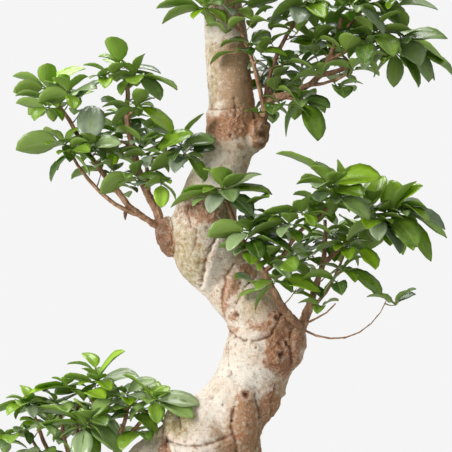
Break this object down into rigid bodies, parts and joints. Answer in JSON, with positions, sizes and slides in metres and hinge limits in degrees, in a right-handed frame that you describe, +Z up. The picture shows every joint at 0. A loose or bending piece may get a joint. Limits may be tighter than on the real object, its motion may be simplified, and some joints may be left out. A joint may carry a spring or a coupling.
{
  "type": "bonsai tree in a pot",
  "caption": "Small-leaved fig grown as a bonsai: thick S-shaped trunk with grafted leafy limbs, standing in soil in a plain round stoneware pot.",
  "frame": {"origin": "centre of the pot's flat underside", "axes": "+Z up along the plant's height, +X to the right of the side that is looked at, -Y towards the viewer"},
  "size_m": [0.6711, 0.344, 1.217],
  "materials": {
    "stoneware": "matte",
    "drain_mesh": "matte",
    "soil": "rough",
    "bark": "rough",
    "twig_bark": "rough",
    "foliage": "satin",
    "dried_leaf": "rough"
  },
  "bodies": {
    "root": {"crown_limb": "twig_bark", "crown_spray_1": "foliage", "crown_spray_2": "foliage", "crown_spray_3": "foliage", "drain_mesh_1": "drain_mesh", "drain_mesh_2": "drain_mesh", "drain_mesh_3": "drain_mesh", "lower_left_limb": "twig_bark", "lower_left_spray_1": "foliage", "lower_left_spray_2": "foliage", "lower_left_spray_3": "foliage", "lower_left_spray_4": "foliage", "lower_left_spray_5": "foliage", "lower_left_spray_6": "foliage", "lower_left_spray_7": "foliage", "lower_left_spray_8": "foliage", "lower_left_spray_9": "foliage", "lower_right_limb": "twig_bark", "lower_right_spray_1": "foliage", "lower_right_spray_2": "foliage", "lower_right_spray_3": "foliage", "middle_right_limb": "twig_bark", "middle_right_spray_1": "foliage", "middle_right_spray_10": "foliage", "middle_right_spray_2": "foliage", "middle_right_spray_3": "foliage", "middle_right_spray_4": "foliage", "middle_right_spray_5": "foliage", "middle_right_spray_6": "foliage", "middle_right_spray_7": "foliage", "middle_right_spray_8": "foliage", "middle_right_spray_9": "foliage", "pot": "stoneware", "potting_soil": "soil", "trunk": "bark", "upper_left_limb": "twig_bark", "upper_left_spray_1": "foliage", "upper_left_spray_2": "foliage", "upper_left_spray_3": "foliage", "upper_left_spray_4": "foliage", "upper_left_spray_5": "foliage", "upper_left_spray_6": "foliage", "upper_left_spray_7": "foliage", "upper_left_spray_8": "foliage", "upper_left_spray_9": "foliage", "upper_right_limb": "twig_bark", "upper_right_spray_1": "foliage", "upper_right_spray_10": "foliage", "upper_right_spray_11": "foliage", "upper_right_spray_2": "foliage", "upper_right_spray_3": "foliage", "upper_right_spray_4": "foliage", "upper_right_spray_5": "foliage", "upper_right_spray_6": "foliage", "upper_right_spray_7": "foliage", "upper_right_spray_8": "foliage", "upper_right_spray_9": "foliage", "withered_leaf": "dried_leaf"}
  },
  "joints": []
}
